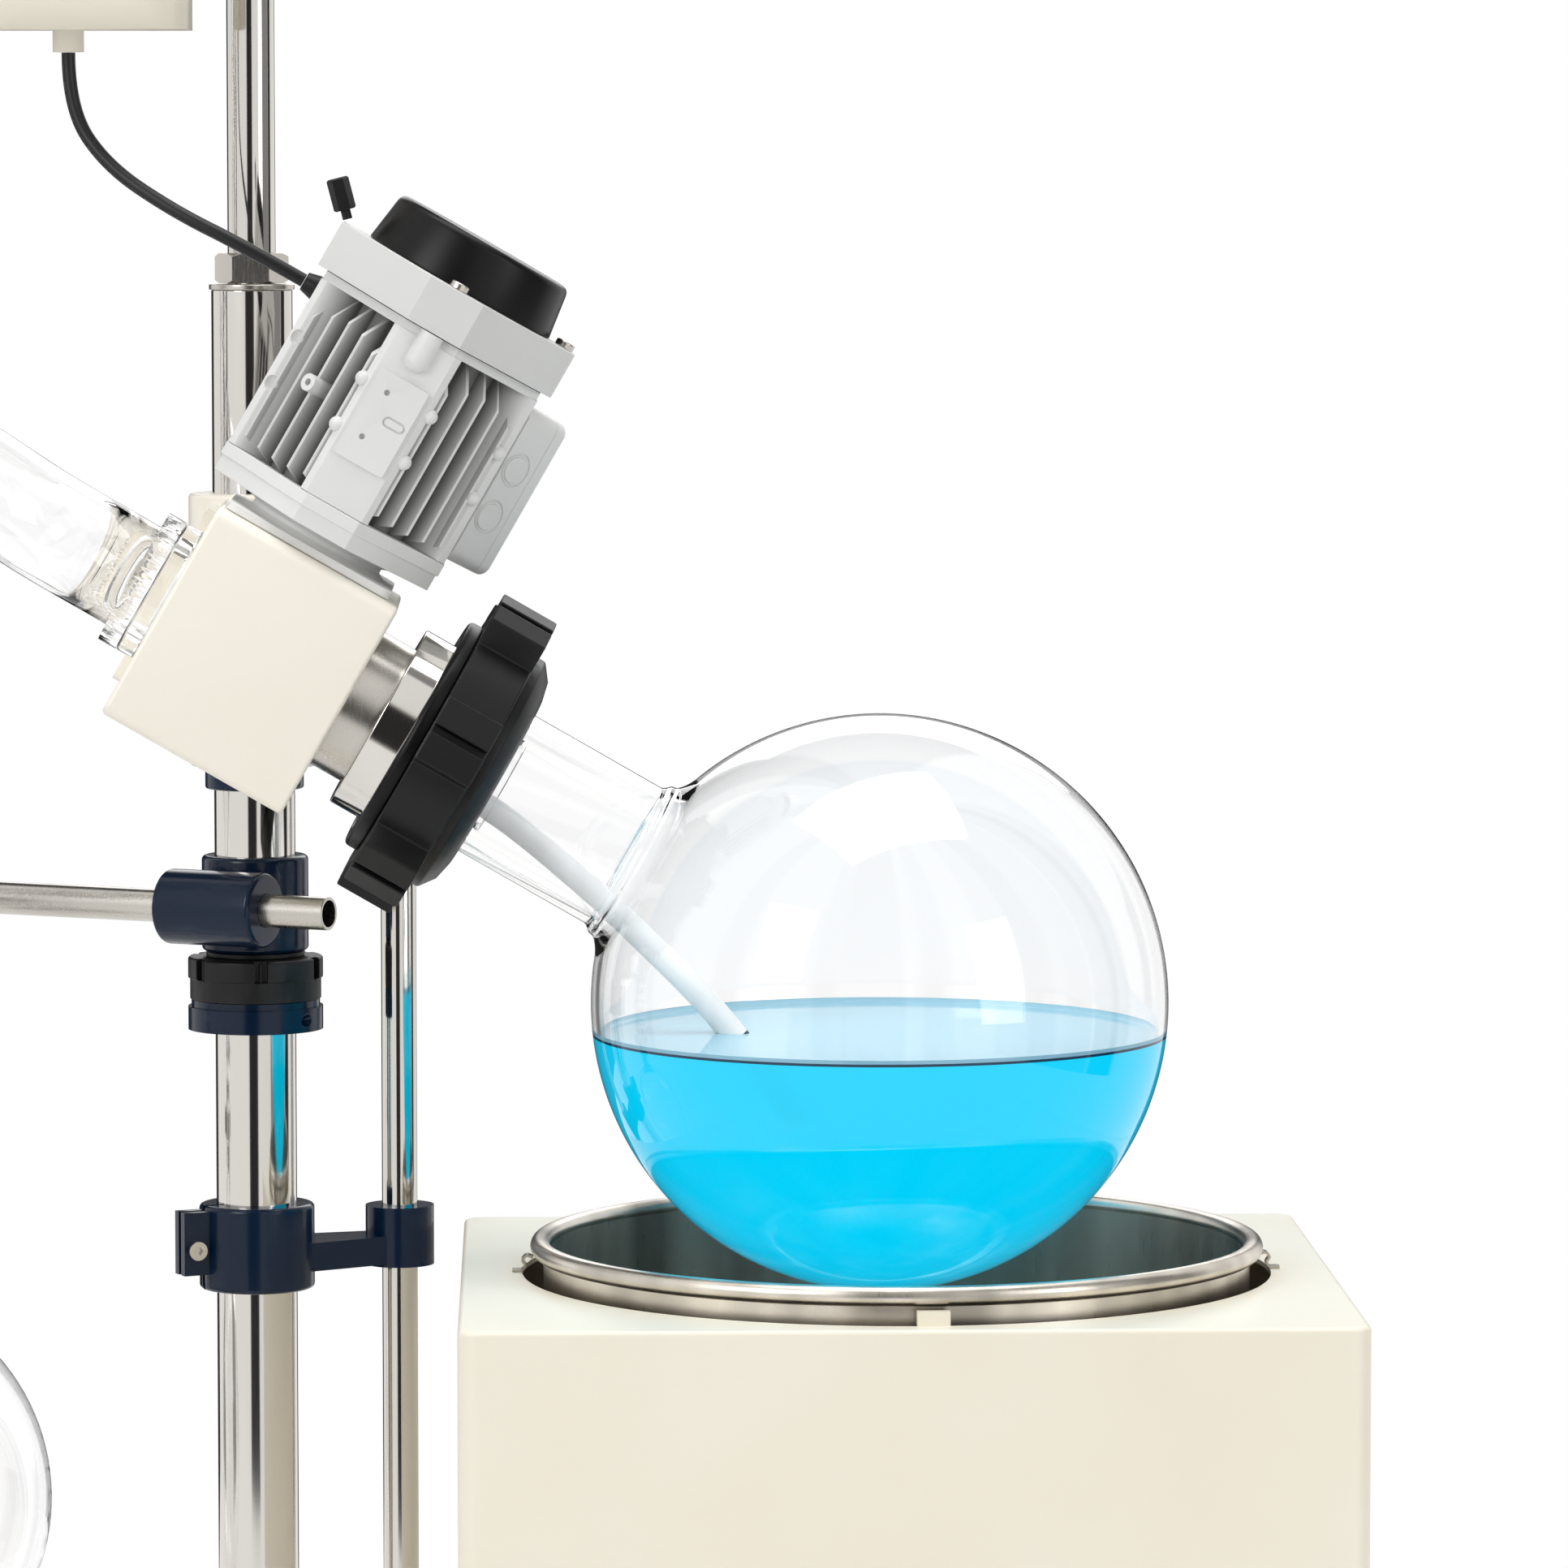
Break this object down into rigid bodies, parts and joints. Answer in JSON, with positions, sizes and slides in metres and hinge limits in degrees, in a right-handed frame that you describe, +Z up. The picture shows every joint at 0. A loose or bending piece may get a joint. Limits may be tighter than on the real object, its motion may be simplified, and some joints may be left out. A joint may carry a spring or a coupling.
{
  "type": "rotary evaporator",
  "caption": "Rotary evaporator: tilted geared motor head turns a round flask over a lifting heating bath, with condenser and receiving flask on a column.",
  "frame": {"origin": "on the floor under the middle of the base", "axes": "+Z up; +X from the column towards the bath; -Y towards the user"},
  "size_m": [1.1, 0.56, 1.9],
  "materials": {
    "cream_paint": "semi-gloss",
    "motor_grey": "satin",
    "navy_paint": "gloss",
    "black_plastic": "matte",
    "bright_steel": "polished",
    "brushed_steel": "brushed",
    "pot_steel": "satin",
    "gear_steel": "machined",
    "clear_glass": "clear",
    "cyan_liquid": "liquid",
    "white_plastic": "satin",
    "cord_rubber": "matte",
    "heater_iron": "rough"
  },
  "bodies": {
    "stand": {"base_frame": "cream_paint", "levelling_feet": "black_plastic", "foot_flanges": "navy_paint", "column": "bright_steel", "column_cap": "bright_steel", "column_nut": "brushed_steel", "upper_tube": "bright_steel", "guide_rod": "bright_steel", "brace": "navy_paint", "machine_screws": "brushed_steel", "stop_ring": "navy_paint", "thrust_ring": "black_plastic", "swivel_boss": "navy_paint", "cross_tube": "bright_steel", "head_bush": "navy_paint", "gearbox_housing": "cream_paint", "rear_bracket": "cream_paint", "shaft_bearings": "gear_steel", "vapour_seal": "white_plastic", "motor_adapter": "motor_grey", "end_shield": "motor_grey", "stator_housing": "motor_grey", "fan_cover": "motor_grey", "motor_cap": "black_plastic", "terminal_box": "motor_grey", "terminal_lid": "motor_grey", "knockout_plugs": "black_plastic", "cord_gland": "black_plastic", "motor_cord": "cord_rubber", "liquid": "cyan_liquid", "feed_tube": "white_plastic", "vapour_duct": "clear_glass", "condenser_jacket": "clear_glass", "vapour_manifold": "clear_glass", "condenser_coil": "clear_glass", "drain_valve": "clear_glass", "receiving_flask": "clear_glass", "flask_clamp": "black_plastic", "tube_clamps": "brushed_steel", "control_box": "cream_paint", "lift_outer": "cream_paint"},
    "bath": {"bath_cabinet": "cream_paint", "bath_pot": "pot_steel", "bath_heater": "heater_iron", "pot_clips": "brushed_steel", "lift_inner": "brushed_steel"},
    "spindle": {"hollow_shaft": "brushed_steel", "bevel_gear": "gear_steel", "polished_ring": "bright_steel", "nut_back_ring": "black_plastic", "evaporating_flask": "clear_glass"},
    "nut": {"coupling_nut": "black_plastic"},
    "rotor": {"drive_pinion": "gear_steel", "motor_fan": "black_plastic"},
    "hand_nut": {"lock_nut": "black_plastic"},
    "thumb": {"thumb_knob": "black_plastic"},
    "tap": {"valve_key": "white_plastic"},
    "speed": {"speed_knob": "black_plastic"},
    "switch": {"power_switch": "black_plastic"},
    "heat": {"bath_knob": "black_plastic"}
  },
  "joints": [
    {"name": "bath_lift", "type": "slide", "parent": "stand", "child": "bath", "axis": [0, 0, 1], "range_m": [0, 0.15]},
    {"name": "flask_spin", "type": "hinge", "parent": "stand", "child": "spindle", "pos_m": [0.2615, 0, 0.9656], "axis": [0.866, 0, -0.5], "continuous": true},
    {"name": "nut_turn", "type": "hinge", "parent": "spindle", "child": "nut", "pos_m": [0.00169, 0, 1.1156], "axis": [0.866, 0, -0.5], "range_deg": [0, 360]},
    {"name": "motor_spin", "type": "hinge", "parent": "stand", "child": "rotor", "pos_m": [-0.11981, 0, 1.18575], "axis": [0.5, 0, 0.866], "continuous": true},
    {"name": "lock_nut_turn", "type": "hinge", "parent": "stand", "child": "hand_nut", "pos_m": [-0.1258, 0.15, 0.962], "axis": [0, 0, 1], "range_deg": [0, 360]},
    {"name": "thumb_turn", "type": "hinge", "parent": "stand", "child": "thumb", "pos_m": [-0.06617, 0, 1.46065], "axis": [-0.2487, 0, 0.9686], "range_deg": [0, 360]},
    {"name": "tap_turn", "type": "hinge", "parent": "stand", "child": "tap", "pos_m": [-0.39, 0.096, 0.9], "axis": [0, -1, 0], "range_deg": [0, 90]},
    {"name": "speed_turn", "type": "hinge", "parent": "stand", "child": "speed", "pos_m": [-0.235, 0.039, 1.693], "axis": [0, -1, 0], "range_deg": [0, 270]},
    {"name": "switch_rock", "type": "hinge", "parent": "stand", "child": "switch", "pos_m": [-0.235, 0.039, 1.6132], "axis": [1, 0, 0], "range_deg": [0, 8]},
    {"name": "heat_turn", "type": "hinge", "parent": "bath", "child": "heat", "pos_m": [0.272, -0.246, 0.56], "axis": [0, -1, 0], "range_deg": [0, 270]}
  ],
  "couplings": [
    {"joint": "motor_spin", "follows": "flask_spin", "ratio": -3}
  ]
}
